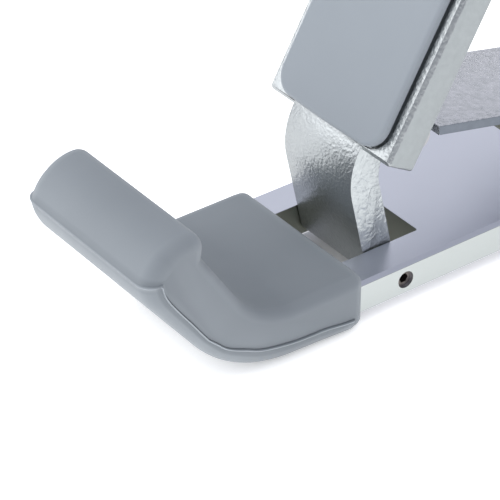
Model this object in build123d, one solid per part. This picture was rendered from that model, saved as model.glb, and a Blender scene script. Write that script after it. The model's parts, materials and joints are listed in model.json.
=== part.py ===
from build123d import *

import os
from math import asin, atan2, cos, degrees, hypot, radians, sin

# Folding laptop stand: two hooked base rails lie on the desk, a padded support arm stands in the
# front slot of each, and a prop arm behind each support runs in the rail's long rear slot.
# Millimetres. X runs across the stand, Y from the hooks (front) to the back, and Z up from the desk.
# The origin is on the desk, under the middle of the whole stand.

# ---- driving dimensions -------------------------------------------------------------------------
LEG_X = 90.0            # half the distance between the centre lines of the two legs
DATUM_Y = -71.8         # Y of the leg datum, a station 1.5 behind the back edge of the hook sleeve
REAR_Y = 128.3          # back end of both base rails

RAIL_W = 40.0           # flat bar, 40 x 8
RAIL_T = 8.0
RAIL_Z = 2.4            # underside of the rails, held off the desk by the sleeves and feet
EDGE = 0.8              # bright chamfer along the rails and around the support plates

BEND_Y = DATUM_Y - 19.7     # where the rail starts to turn up into its hook
BEND_R = 19.0               # inside radius of the hook
HOOK_TURN = 56.5            # degrees
LIP = 17.5                  # straight metal beyond the bend

SLEEVE_WALL = 2.4       # silicone over and under the rail
SLEEVE_SIDE = 1.8       # silicone at each side of the rail
SLEEVE_END_Y = DATUM_Y - 1.5
LIP_CORNER = (DATUM_Y - 56.5, RAIL_Z + 29.4)    # outer edge of the sleeve's end face
LIP_CREST_Z = RAIL_Z + 38.0                     # top of the sleeve's inner face
LIP_KINK_Z = RAIL_Z + 31.0                      # above this the sleeve's inner face is upright
LIP_BULGE = 1.6                                 # crown of the sleeve's end face
SLEEVE_END_ROUND = 2.0
SLEEVE_RIM_ROUND = 1.5

SLOT_W = 23.0           # both slots are as wide
FRONT_SLOT = (DATUM_Y - 2.5, DATUM_Y + 20.4)
REAR_SLOT = (DATUM_Y + 61.0, DATUM_Y + 139.0)
SLOT_CORNER = 0.6

PIVOT = (DATUM_Y + 10.3, RAIL_Z + RAIL_T / 2)
PIVOT_R = 2.0           # pivot pin, and the M4 grub screws that close its hole
RUN = 0.05              # radial running clearance
GRUB_LENGTH = 4.0
GRUB_INSET = 0.8
HEX_SOCKET = 2.0        # across flats
SHIM_T = 0.25
BUSH_R = 3.0
BUSH_LENGTH = 9.0
SHIM_R = BUSH_R + 0.4

TILT = 60.0             # slope of the support plate as it stands
PLATE_W = 40.0
PLATE_T = 7.5
PLATE_L = 167.0
PLATE_FOOT = (DATUM_Y + 4.2, RAIL_Z + 34.2)     # lower edge of the plate's front face
NECK_W = 22.4
NECK_T = 7.4
NECK_LEAN = 12.7        # degrees forward of upright
NECK_R = 13.0           # centre-line radius of the neck's curve
NECK_SUNK = 3.0         # how far up the plate the neck runs inside it
PLATE_LOW_CORNER = 1.0
PLATE_TOP_CORNER = 6.0

PAD_W = 34.0
PAD_FROM, PAD_TO = 1.5, 163.5                   # along the plate
PAD_STANDS = 2.2        # height of the pad above the plate
PAD_SUNK = 0.8          # depth of the pad's pocket
PAD_CORNER = 5.0
PAD_RIM = 1.0
PAD_GAP = 0.5           # gap between the pad and the wall of its pocket

HINGE_S = 5.9           # prop hinge: distance up the plate from its lower edge
HINGE_BEHIND = 5.0      # and behind the plate's back face
HINGE_R = 1.5
KNUCKLE_R = 3.0
KNUCKLE_W = 16.6
KNUCKLE_ROOM = 1.6      # round the lugs, where the prop is cut back
LUG_X = (8.6, 13.4)     # the two lugs on the plate's back
LUG_FLARE = 2.0         # the lug's foot is this much longer towards the top
LUG_SUNK = 0.5
CLIP_T = 0.6
CLIP_R = HINGE_R + 1.1
PIN_END = 0.4           # pin beyond its clips

PROP_W = 29.2
PROP_T = 2.2
PROP_RISE = 1.3         # the prop's centre line above its hinge
PROP_SLOPE = 12.3       # degrees down towards the back, as it stands
PROP_RUN = 71.0         # straight part
PROP_R = 30.0
PROP_TURN = 37.7        # degrees more, before it drops into the slot
PROP_LEG_W = 22.0
PROP_SHOULDER = 4.0     # the leg is narrow from this far before its bend ends
FOOT_Z = RAIL_Z + 2.7
FOOT_BOSS_R = 2.5
SHOE_R = 1.6
SHOE_BORE_R = 1.0
GROOVE_R = 1.75
GROOVE_DEPTH = 2.5
GROOVE_FLOOR = 0.2      # gap between the shoes and the groove's floor
GROOVE_ARCS = 3         # arcs that the groove's path is made of

FOLD = 60.0             # degrees from standing to flat

CROSS_Y = (DATUM_Y + 160.0, DATUM_Y + 186.0)    # rear cross bar between the rails
TONGUE = 12.0                                   # its half-thickness end, under each rail
TOP_BAR_S = (136.0, 161.0)                      # top cross bar, along the plate
TOP_BAR_T = 6.0
TOP_BAR_X = 104.0
TOP_BAR_CORNER = 4.0
SCREW_R = 2.0
SCREW_HEAD_R = 3.9
SCREW_HEAD_H = 2.0
SCREW_PITCH = 14.0
SCREW_HEX = 2.5         # across flats
SCREW_HEX_DEPTH = 1.5
REAR_SCREW = RAIL_T - 1.0                       # screw lengths
TOP_SCREW = TOP_BAR_T + 5.0

FOOT_Y = (DATUM_Y + 188.0, DATUM_Y + 198.5)
FOOT_W = 34.0
FOOT_SUNK = 1.0
FOOT_CHAMFER = 0.5


# ---- helpers ------------------------------------------------------------------------------------
def across(face, width, middle=0.0):
    """A side view (drawn as Y, Z) given its width along X, about X = middle."""
    return Pos(middle, 0, 0) * extrude(Plane.YZ * face, width / 2, both=True)


def rod(point, radius, x_from, x_to):
    """A round bar along X through a side-view point."""
    return across(Pos(*point) * Circle(radius), abs(x_to - x_from), (x_from + x_to) / 2)


def ring(point, outer, inner, x_from, x_to):
    """A round bar along X with a hole through it."""
    return rod(point, outer, x_from, x_to) - rod(point, inner, x_from, x_to)


def both_sides(make):
    """The same piece at each side of a leg, as separate solids."""
    return Compound(children=[make(-1), make(1)])


def block(*ranges):
    """A box from its X, Y and Z ranges, each given either way round."""
    size = [abs(b - a) for a, b in ranges]
    low = [min(pair) for pair in ranges]
    return Pos(*low) * Box(*size, align=(Align.MIN, Align.MIN, Align.MIN))


def ahead(point, heading, distance):
    """The side-view point at a distance from another; headings are degrees above +Y."""
    return (point[0] + distance * cos(radians(heading)), point[1] + distance * sin(radians(heading)))


def band(points_and_arcs):
    """A closed side view from lines (two points) and arcs (three points), given in order."""
    edges = [Line(*p) if len(p) == 2 else ThreePointArc(*p) for p in points_and_arcs]
    return make_face(edges)


def hook_point(radius, turn):
    """A side-view point on the hook's bend."""
    centre = (BEND_Y, RAIL_Z + BEND_R + RAIL_T)
    return ahead(centre, -90 - turn, radius)


# ---- places that several pieces share -----------------------------------------------------------
plate_plane = Plane(
    origin=(0, PLATE_FOOT[0], PLATE_FOOT[1]),
    x_dir=(1, 0, 0),
    z_dir=(0, -sin(radians(TILT)), cos(radians(TILT))),
)


def on_plate(s, t):
    """Side-view point at s up the plate's front face and t out of it."""
    return ahead(ahead(PLATE_FOOT, TILT, s), TILT + 90, t)


HINGE = on_plate(HINGE_S, -PLATE_T - HINGE_BEHIND)
PROP_START = ahead(HINGE, 90 - PROP_SLOPE, PROP_RISE)
PROP_BEND = ahead(PROP_START, -PROP_SLOPE, PROP_RUN)
PROP_CENTRE = ahead(PROP_BEND, -90 - PROP_SLOPE, PROP_R)
PROP_LEG = ahead(PROP_CENTRE, 90 - PROP_SLOPE - PROP_TURN, PROP_R)
LEG_SLOPE = PROP_SLOPE + PROP_TURN
LEG_LENGTH = (PROP_LEG[1] - FOOT_Z) / sin(radians(LEG_SLOPE))
FOOT = ahead(PROP_LEG, -LEG_SLOPE, LEG_LENGTH)
SHOE_X = SLOT_W / 2 + GROOVE_DEPTH - GROOVE_FLOOR

# The fold is a crank and slider: the hinge swings about the pivot and the foot runs in the grooves.
CRANK = hypot(HINGE[0] - PIVOT[0], HINGE[1] - PIVOT[1])
CRANK_ANGLE = degrees(atan2(HINGE[1] - PIVOT[1], HINGE[0] - PIVOT[0]))
REACH = hypot(FOOT[0] - HINGE[0], FOOT[1] - HINGE[1])
REACH_SLOPE = degrees(asin((HINGE[1] - FOOT[1]) / REACH))
FLAT_HINGE_Z = PIVOT[1] + CRANK * sin(radians(CRANK_ANGLE - FOLD))
FLAT_SLOPE = degrees(asin((FLAT_HINGE_Z - FOOT_Z) / REACH))
PROP_PER_FOLD = (REACH_SLOPE - FLAT_SLOPE) / FOLD


def foot_at(fold):
    """Where the foot pin is, with the supports folded down by some degrees."""
    hinge = ahead(PIVOT, CRANK_ANGLE - fold, CRANK)
    return ahead(hinge, -REACH_SLOPE + PROP_PER_FOLD * fold, REACH)


# ---- base ---------------------------------------------------------------------------------------
def rail_blank():
    """The bent flat bar before its slots and holes are cut."""
    outer, inner = BEND_R + RAIL_T, BEND_R
    tip_heading = 180 - HOOK_TURN
    outer_end, inner_end = hook_point(outer, HOOK_TURN), hook_point(inner, HOOK_TURN)
    outer_tip, inner_tip = (ahead(p, tip_heading, LIP) for p in (outer_end, inner_end))
    under, over = (BEND_Y, RAIL_Z), (BEND_Y, RAIL_Z + RAIL_T)
    side = band([
        ((REAR_Y, RAIL_Z), under),
        (under, hook_point(outer, HOOK_TURN / 2), outer_end),
        (outer_end, outer_tip),
        (outer_tip, inner_tip),
        (inner_tip, inner_end),
        (inner_end, hook_point(inner, HOOK_TURN / 2), over),
        (over, (REAR_Y, RAIL_Z + RAIL_T)),
        ((REAR_Y, RAIL_Z + RAIL_T), (REAR_Y, RAIL_Z)),
    ])
    blank = across(side, RAIL_W)
    return chamfer(blank.edges().filter_by(Axis.Y), EDGE)


def slot(y_range):
    """What a slot takes away from the rail."""
    outline = RectangleRounded(SLOT_W, y_range[1] - y_range[0], SLOT_CORNER)
    middle = Pos(0, sum(y_range) / 2, RAIL_Z)
    return middle * extrude(outline, RAIL_T, both=True)


def guide_groove():
    """The foot pin's path, cut into both walls of the rear slot as a chain of arcs."""
    step = FOLD / GROOVE_ARCS
    arcs = [
        ThreePointArc(*[foot_at((i + part) * step) for part in (0, 0.5, 1)])
        for i in range(GROOVE_ARCS)
    ]
    cuts = [across(SlotArc(arc, 2 * GROOVE_R), SLOT_W + 2 * GROOVE_DEPTH) for arc in arcs]
    return cuts[0].fuse(*cuts[1:])


def cross_screw_spots(side):
    """Where the screws of the rear cross bar stand, in the leg's own X."""
    y_mid = sum(CROSS_Y) / 2
    x = -side * (RAIL_W / 2 - TONGUE / 2)
    return [(x, y_mid - SCREW_PITCH / 2), (x, y_mid + SCREW_PITCH / 2)]


def base_rail(side):
    """Bent flat bar; side is -1 for the left leg and 1 for the right."""
    rail = rail_blank() - slot(FRONT_SLOT) - slot(REAR_SLOT) - guide_groove()
    rail -= rod(PIVOT, PIVOT_R, -RAIL_W, RAIL_W)
    inner = (-side * RAIL_W / 2, -side * (RAIL_W / 2 - TONGUE))
    rail -= block(inner, CROSS_Y, (RAIL_Z, RAIL_Z + RAIL_T / 2))
    rail -= block((-FOOT_W / 2, FOOT_W / 2), FOOT_Y, (RAIL_Z, RAIL_Z + FOOT_SUNK))
    for x, y in cross_screw_spots(side):
        rail -= Pos(x, y, RAIL_Z) * screw_shank(REAR_SCREW)
    return rail


def hook_sleeve():
    """Silicone boot over the hook; its lip is thicker towards the rounded end face."""
    outer, inner = BEND_R + RAIL_T + SLEEVE_WALL, BEND_R - SLEEVE_WALL
    bottom, bed = RAIL_Z - SLEEVE_WALL, RAIL_Z + RAIL_T + SLEEVE_WALL
    outer_end, inner_end = hook_point(outer, HOOK_TURN), hook_point(inner, HOOK_TURN)
    kink_run = (LIP_KINK_Z - inner_end[1]) / sin(radians(HOOK_TURN))
    kink = ahead(inner_end, 180 - HOOK_TURN, kink_run)
    crest = (kink[0], LIP_CREST_Z)
    chord = degrees(atan2(crest[1] - LIP_CORNER[1], crest[0] - LIP_CORNER[0]))
    middle = ((LIP_CORNER[0] + crest[0]) / 2, (LIP_CORNER[1] + crest[1]) / 2)
    side_view = band([
        ((SLEEVE_END_Y, bottom), (BEND_Y, bottom)),
        ((BEND_Y, bottom), hook_point(outer, HOOK_TURN / 2), outer_end),
        (outer_end, LIP_CORNER),
        (LIP_CORNER, ahead(middle, chord + 90, LIP_BULGE), crest),
        (crest, kink),
        (kink, inner_end),
        (inner_end, hook_point(inner, HOOK_TURN / 2), (BEND_Y, bed)),
        ((BEND_Y, bed), (SLEEVE_END_Y, bed)),
        ((SLEEVE_END_Y, bed), (SLEEVE_END_Y, bottom)),
    ])
    back_corners = side_view.vertices().sort_by(Axis.X)[-2:]
    top_corner = side_view.vertices().sort_by(Axis.Y)[-1:]
    boot = across(fillet(back_corners + top_corner, SLEEVE_END_ROUND), RAIL_W + 2 * SLEEVE_SIDE)
    faces = boot.faces().sort_by(Axis.X)
    return fillet(faces[0].edges() + faces[-1].edges(), SLEEVE_RIM_ROUND) - rail_blank()


def pivot_pin():
    """Pin that the support turns on, between the two grub screws."""
    reach = RAIL_W / 2 - GRUB_INSET - GRUB_LENGTH
    return rod(PIVOT, PIVOT_R, -reach, reach)


def pivot_shims():
    """Washers between the neck and the slot's walls."""
    outer, inner = SLOT_W / 2, SLOT_W / 2 - SHIM_T
    return both_sides(lambda s: ring(PIVOT, SHIM_R, PIVOT_R, s * inner, s * outer))


def grub_screw(outward):
    """Socket set screw with its face just inside the rail's side; outward is -1 or 1."""
    face = outward * (RAIL_W / 2 - GRUB_INSET)
    screw = rod(PIVOT, PIVOT_R, face - outward * GRUB_LENGTH, face)
    socket = across(
        Pos(*PIVOT) * RegularPolygon(HEX_SOCKET / 2, 6, major_radius=False), HEX_SOCKET * 2, face
    )
    return screw - socket


def screw_shank(length):
    """A screw's shank, or its hole, pointing up from the origin."""
    return Cylinder(SCREW_R, length, align=(Align.CENTER, Align.CENTER, Align.MIN))


def screw_seat(length):
    """What a countersunk screw takes away from the pieces it passes through."""
    bottom = (Align.CENTER, Align.CENTER, Align.MIN)
    return Cone(SCREW_HEAD_R, SCREW_R, SCREW_HEAD_H, align=bottom) + screw_shank(length)


def countersunk_screw(length):
    """Countersunk socket screw pointing up, its head's face at the origin."""
    socket = extrude(RegularPolygon(SCREW_HEX / 2, 6, major_radius=False), SCREW_HEX_DEPTH)
    return screw_seat(length) - socket


def rear_screw_places():
    """Where the rear cross bar's screws stand, in both legs."""
    return [
        Pos(side * LEG_X + x, y, RAIL_Z) for side in (-1, 1) for x, y in cross_screw_spots(side)
    ]


def rear_cross_bar():
    """Flat bar between the rails, on half-thickness tongues that lie under them."""
    half = LEG_X - RAIL_W / 2
    bar = block((-half, half), CROSS_Y, (RAIL_Z, RAIL_Z + RAIL_T))
    bar = chamfer(bar.edges().filter_by(Axis.X), EDGE)
    tongue_top = RAIL_Z + RAIL_T / 2
    bar += block((-half - TONGUE, -half), CROSS_Y, (RAIL_Z, tongue_top))
    bar += block((half, half + TONGUE), CROSS_Y, (RAIL_Z, tongue_top))
    for place in rear_screw_places():
        bar -= place * screw_seat(RAIL_T)
    return bar


def rear_foot():
    """Silicone foot let into the rail's underside."""
    pad = block((-FOOT_W / 2, FOOT_W / 2), FOOT_Y, (0, RAIL_Z + FOOT_SUNK))
    return chamfer(pad.faces().sort_by(Axis.Z)[0].edges(), FOOT_CHAMFER)


# ---- support arm --------------------------------------------------------------------------------
def neck_point(heading, offset):
    """A side-view point on the neck's curve; heading in degrees, offset towards the back."""
    plate_middle = on_plate(0, -PLATE_T / 2)
    centre = ahead(plate_middle, TILT - 90, NECK_R)
    return ahead(centre, heading + 90, NECK_R - offset)


def neck():
    """Curved stem from the pivot up into the plate, of one thickness."""
    half = NECK_T / 2
    low, high = 90 + NECK_LEAN, TILT
    middle = (low + high) / 2
    foot = [ahead(PIVOT, low + turn, half) for turn in (90, 180, -90)]
    front_top, back_top = (on_plate(NECK_SUNK, -PLATE_T / 2 + t) for t in (half, -half))
    side_view = band([
        tuple(foot),
        (foot[2], neck_point(low, half)),
        (neck_point(low, half), neck_point(middle, half), neck_point(high, half)),
        (neck_point(high, half), back_top),
        (back_top, front_top),
        (front_top, neck_point(high, -half)),
        (neck_point(high, -half), neck_point(middle, -half), neck_point(low, -half)),
        (neck_point(low, -half), foot[0]),
    ])
    return across(side_view, NECK_W)


def top_screw_places(middle=0.0):
    """Screw places on one plate's back, pointing into it, about X = middle."""
    s_mid = sum(TOP_BAR_S) / 2
    depth = -PLATE_T - TOP_BAR_T
    spots = (middle - SCREW_PITCH / 2, middle + SCREW_PITCH / 2)
    return [plate_plane * Pos(x, s_mid, depth) for x in spots]


def support_plate():
    """The plate that the pad is on, chamfered all round its front."""
    outline = Pos(0, PLATE_L / 2) * Rectangle(PLATE_W, PLATE_L)
    outline = fillet(outline.vertices().group_by(Axis.Y)[0], PLATE_LOW_CORNER)
    outline = fillet(outline.vertices().group_by(Axis.Y)[-1], PLATE_TOP_CORNER)
    plate = extrude(outline, -PLATE_T)
    front = plate.faces().sort_by(Axis.Z)[-1]
    return plate_plane * chamfer(front.edges(), EDGE)


def pad_pocket():
    """The shallow recess that the pad is glued into."""
    length = PAD_TO - PAD_FROM + 2 * PAD_GAP
    outline = RectangleRounded(PAD_W + 2 * PAD_GAP, length, PAD_CORNER + PAD_GAP)
    return plate_plane * Pos(0, (PAD_FROM + PAD_TO) / 2, 0) * extrude(outline, -PAD_SUNK)


def lug(side):
    """Hinge lug behind the plate."""
    low, high = HINGE_S - KNUCKLE_R, HINGE_S + KNUCKLE_R
    deep, root = -PLATE_T - HINGE_BEHIND, -PLATE_T + LUG_SUNK
    corners = [(low, deep), (high, deep), (high + LUG_FLARE, root), (low, root)]
    web = make_face(Polyline(*[on_plate(s, t) for s, t in corners], close=True))
    boss = rod(HINGE, KNUCKLE_R, side * LUG_X[0], side * LUG_X[1])
    return across(web, LUG_X[1] - LUG_X[0], side * sum(LUG_X) / 2) + boss


def support_arm():
    """One casting: plate, neck and hinge lugs."""
    arm = support_plate() + neck() + lug(-1) + lug(1) - pad_pocket()
    arm -= rod(PIVOT, PIVOT_R + 2 * RUN, -NECK_W, NECK_W)
    for s in (-1, 1):
        arm -= rod(PIVOT, BUSH_R, s * (NECK_W / 2 - BUSH_LENGTH), s * NECK_W / 2)
    arm -= rod(HINGE, HINGE_R, -PLATE_W, PLATE_W)
    for place in top_screw_places():
        arm -= place * screw_shank(TOP_SCREW)
    return arm


def support_pad():
    """Silicone pad glued into the plate's pocket."""
    length = PAD_TO - PAD_FROM
    pad = extrude(RectangleRounded(PAD_W, length, PAD_CORNER), PAD_SUNK + PAD_STANDS)
    pad = fillet(pad.faces().sort_by(Axis.Z)[-1].edges(), PAD_RIM)
    return plate_plane * Pos(0, (PAD_FROM + PAD_TO) / 2, -PAD_SUNK) * pad


def pivot_bushes():
    """Bushes pressed into the neck from each side."""
    outer, inner = NECK_W / 2, NECK_W / 2 - BUSH_LENGTH
    return both_sides(lambda s: ring(PIVOT, BUSH_R, PIVOT_R + RUN, s * inner, s * outer))


def top_cross_bar():
    """Flat bar that joins the backs of the two support plates."""
    length = TOP_BAR_S[1] - TOP_BAR_S[0]
    bar = extrude(RectangleRounded(2 * TOP_BAR_X, length, TOP_BAR_CORNER), TOP_BAR_T)
    bar = chamfer(bar.faces().sort_by(Axis.Z)[0].edges(), EDGE)
    bar = plate_plane * Pos(0, sum(TOP_BAR_S) / 2, -PLATE_T - TOP_BAR_T) * bar
    for middle in (-LEG_X, LEG_X):
        for place in top_screw_places(middle):
            bar -= place * screw_seat(TOP_BAR_T)
    return bar


# ---- prop arm -----------------------------------------------------------------------------------
def prop_sheet():
    """Side view of the prop: a straight run, a bend and the leg down into the slot."""
    half = PROP_T / 2
    up, leg_up = 90 - PROP_SLOPE, 90 - LEG_SLOPE
    middle = 90 - PROP_SLOPE - PROP_TURN / 2
    top = [ahead(p, up, half) for p in (PROP_START, PROP_BEND)]
    under = [ahead(p, up, -half) for p in (PROP_START, PROP_BEND)]
    leg_top = [ahead(p, leg_up, half) for p in (PROP_LEG, FOOT)]
    leg_under = [ahead(p, leg_up, -half) for p in (PROP_LEG, FOOT)]
    return band([
        tuple(top),
        (top[1], ahead(PROP_CENTRE, middle, PROP_R + half), leg_top[0]),
        tuple(leg_top),
        (leg_top[1], leg_under[1]),
        (leg_under[1], leg_under[0]),
        (leg_under[0], ahead(PROP_CENTRE, middle, PROP_R - half), under[1]),
        (under[1], under[0]),
        (under[0], top[0]),
    ])


def prop_arm():
    """Bent sheet with a knuckle for its hinge and a boss for its foot pin."""
    arm = across(prop_sheet(), PROP_W)
    leg_y = (PROP_LEG[0] - PROP_SHOULDER, REAR_Y)
    leg_z = (0, PROP_LEG[1] + PROP_SHOULDER)
    for s in (-1, 1):
        arm -= block((s * PROP_LEG_W / 2, s * PROP_W), leg_y, leg_z)
        arm -= rod(HINGE, KNUCKLE_R + KNUCKLE_ROOM, s * KNUCKLE_W / 2, s * PROP_W)
    arm += rod(HINGE, KNUCKLE_R, -KNUCKLE_W / 2, KNUCKLE_W / 2)
    arm += rod(FOOT, FOOT_BOSS_R, -PROP_LEG_W / 2, PROP_LEG_W / 2)
    arm -= rod(HINGE, HINGE_R + RUN, -KNUCKLE_W, KNUCKLE_W)
    return arm - rod(FOOT, HINGE_R, -PROP_LEG_W, PROP_LEG_W)


def prop_hinge_pin():
    """Pin through the lugs and the prop's knuckle."""
    reach = LUG_X[1] + CLIP_T + PIN_END
    return rod(HINGE, HINGE_R, -reach, reach)


def prop_pin_clips():
    """Rings that keep the hinge pin in, outside the lugs."""
    inner, outer = LUG_X[1], LUG_X[1] + CLIP_T
    return both_sides(lambda s: ring(HINGE, CLIP_R, HINGE_R, s * inner, s * outer))


def foot_pin():
    """Shouldered pin whose thin ends carry the guide shoes."""
    shoulder = PROP_LEG_W / 2
    return rod(FOOT, HINGE_R, -shoulder, shoulder) + rod(FOOT, SHOE_BORE_R, -SHOE_X, SHOE_X)


def guide_shoes():
    """Round shoes that slide in the rail's grooves."""
    inner = PROP_LEG_W / 2
    return both_sides(lambda s: ring(FOOT, SHOE_R, SHOE_BORE_R, s * inner, s * SHOE_X))


# ---- one STEP per node --------------------------------------------------------------------------
def leg_parts(side):
    """One leg's nodes, about its own centre line."""
    return {
        "base_rail": base_rail(side),
        "hook_sleeve": hook_sleeve(),
        "pivot_pin": pivot_pin(),
        "pivot_shims": pivot_shims(),
        "pivot_bushes": pivot_bushes(),
        "rear_foot": rear_foot(),
        "support_arm": support_arm(),
        "support_pad": support_pad(),
        "prop_hinge_pin": prop_hinge_pin(),
        "prop_pin_clips": prop_pin_clips(),
        "prop_arm": prop_arm(),
        "foot_pin": foot_pin(),
        "guide_shoes": guide_shoes(),
    }


def shared_parts():
    """The nodes that join the two legs, and the fasteners of both."""
    grubs = [Pos(leg * LEG_X, 0, 0) * grub_screw(out) for leg in (-1, 1) for out in (-1, 1)]
    rear_screws = [place * countersunk_screw(REAR_SCREW) for place in rear_screw_places()]
    top_places = top_screw_places(-LEG_X) + top_screw_places(LEG_X)
    top_screws = [place * countersunk_screw(TOP_SCREW) for place in top_places]
    return {
        "rear_cross_bar": rear_cross_bar(),
        "top_cross_bar": top_cross_bar(),
        "pivot_grub_screws": Compound(children=grubs),
        "rear_bar_screws": Compound(children=rear_screws),
        "top_bar_screws": Compound(children=top_screws),
    }


os.makedirs("parts", exist_ok=True)
for side_name, side_sign in (("left", -1), ("right", 1)):
    for part_name, piece in leg_parts(side_sign).items():
        export_step(Pos(side_sign * LEG_X, 0, 0) * piece, f"parts/{side_name}_{part_name}.step")
for part_name, piece in shared_parts().items():
    export_step(piece, f"parts/{part_name}.step")

flat_foot = foot_at(FOLD)
print(f"hinge {HINGE[0]:.3f} {HINGE[1]:.3f}, pivot {PIVOT[0]:.3f} {PIVOT[1]:.3f}")
print(f"foot runs from Y {FOOT[0]:.2f} to {flat_foot[0]:.2f}; prop turns {1 + PROP_PER_FOLD:.5f} per fold")
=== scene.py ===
"""Folding laptop stand: finished surfaces, floor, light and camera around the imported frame."""

import json
import logging
import math
from dataclasses import dataclass, field
from enum import Enum
from typing import Any, Iterable

import bmesh
import bpy
from mathutils import Matrix, Vector


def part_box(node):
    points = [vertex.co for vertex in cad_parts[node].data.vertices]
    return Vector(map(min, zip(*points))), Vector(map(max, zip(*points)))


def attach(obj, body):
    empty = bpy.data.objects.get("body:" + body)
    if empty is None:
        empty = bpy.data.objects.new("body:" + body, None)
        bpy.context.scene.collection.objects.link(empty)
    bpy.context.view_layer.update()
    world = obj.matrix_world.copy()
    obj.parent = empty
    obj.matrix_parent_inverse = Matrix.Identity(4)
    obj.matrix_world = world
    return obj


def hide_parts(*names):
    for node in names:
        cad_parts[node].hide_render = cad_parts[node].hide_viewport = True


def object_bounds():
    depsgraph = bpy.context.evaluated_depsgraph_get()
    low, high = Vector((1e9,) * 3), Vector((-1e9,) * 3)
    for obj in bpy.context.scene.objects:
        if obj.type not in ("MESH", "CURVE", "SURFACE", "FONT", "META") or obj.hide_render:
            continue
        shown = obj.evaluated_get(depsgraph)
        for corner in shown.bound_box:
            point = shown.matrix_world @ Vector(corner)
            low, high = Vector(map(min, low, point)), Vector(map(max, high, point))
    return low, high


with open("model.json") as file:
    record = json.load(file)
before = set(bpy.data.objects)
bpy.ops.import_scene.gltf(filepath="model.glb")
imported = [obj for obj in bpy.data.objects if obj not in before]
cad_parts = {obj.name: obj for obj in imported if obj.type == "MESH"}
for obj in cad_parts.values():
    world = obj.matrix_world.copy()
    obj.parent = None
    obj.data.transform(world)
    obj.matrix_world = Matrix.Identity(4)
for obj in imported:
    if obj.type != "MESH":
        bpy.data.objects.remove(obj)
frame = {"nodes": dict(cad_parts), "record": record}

MM = 0.001
SKIN = 0.1 * MM     # how far a painted region stays off a face that it isn't meant for
LEVEL = 0.01        # millimetres within which two points count as level
FACING = 0.9        # a face whose normal has this much of an axis faces along it
NEAR_FOCUS = 0.96   # how much of the way to its focus a tight corner is drawn in
CAD_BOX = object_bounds()
LOG = logging.getLogger("laptop_stand")
NodeLinks = dict[str | int, bpy.types.NodeSocket]


# ---- small tools --------------------------------------------------------------------------------
def linear(colour: str) -> tuple[float, float, float, float]:
    """Turn an sRGB hex colour into a linear one.

    Args:
        colour: The colour, as "#rrggbb".

    Returns:
        Red, green, blue and an alpha of 1, in linear light.
    """
    parts = [int(colour[i : i + 2], 16) / 255 for i in (1, 3, 5)]
    r, g, b = (c / 12.92 if c <= 0.04045 else ((c + 0.055) / 1.055) ** 2.4 for c in parts)
    return r, g, b, 1.0


def add_node(
    tree: bpy.types.NodeTree,
    kind: str,
    settings: dict[str | int, Any] | None = None,
    links: NodeLinks | None = None,
) -> bpy.types.Node:
    """Add one shader node.

    Args:
        tree: The node tree it goes into.
        kind: The node's type, without its ShaderNode prefix.
        settings: Its properties and input values; an input goes by its name or its index.
        links: Output sockets that feed its inputs, by the input's name or index.

    Returns:
        The new node.
    """
    node = tree.nodes.new("ShaderNode" + kind)
    for key, value in (settings or {}).items():
        if isinstance(key, str) and hasattr(node, key):
            setattr(node, key, value)
        else:
            node.inputs[key].default_value = value
    for key, socket in (links or {}).items():
        tree.links.new(socket, node.inputs[key])
    return node


def per_metre(size_mm: float) -> float:
    """Texture scale whose pattern repeats about every size_mm."""
    return 1 / (size_mm * MM)


def box_mask(tree: bpy.types.NodeTree, place: bpy.types.NodeSocket,
             *spans: tuple[float, float]) -> bpy.types.NodeSocket:
    """Mark the places inside a box on the right of the stand and its mirror on the left.

    Args:
        tree: The material's tree.
        place: The coordinates.
        spans: The box's middle and half its length along X, Y and Z, in metres. An axis that
            is left out has no limit.

    Returns:
        1 inside the box and 0 outside it.
    """
    axes = add_node(tree, "SeparateXYZ", links={0: place})
    away = add_node(tree, "Math", {"operation": "ABSOLUTE"}, {0: axes.outputs[0]})
    mask = None
    for value, (middle, half) in zip((away.outputs[0], axes.outputs[1], axes.outputs[2]), spans):
        within = add_node(tree, "Math", {"operation": "COMPARE", 1: middle, 2: half}, {0: value})
        if mask is not None:
            within = add_node(tree, "Math", {"operation": "MULTIPLY"},
                              {0: mask, 1: within.outputs[0]})
        mask = within.outputs[0]
    return mask


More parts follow.
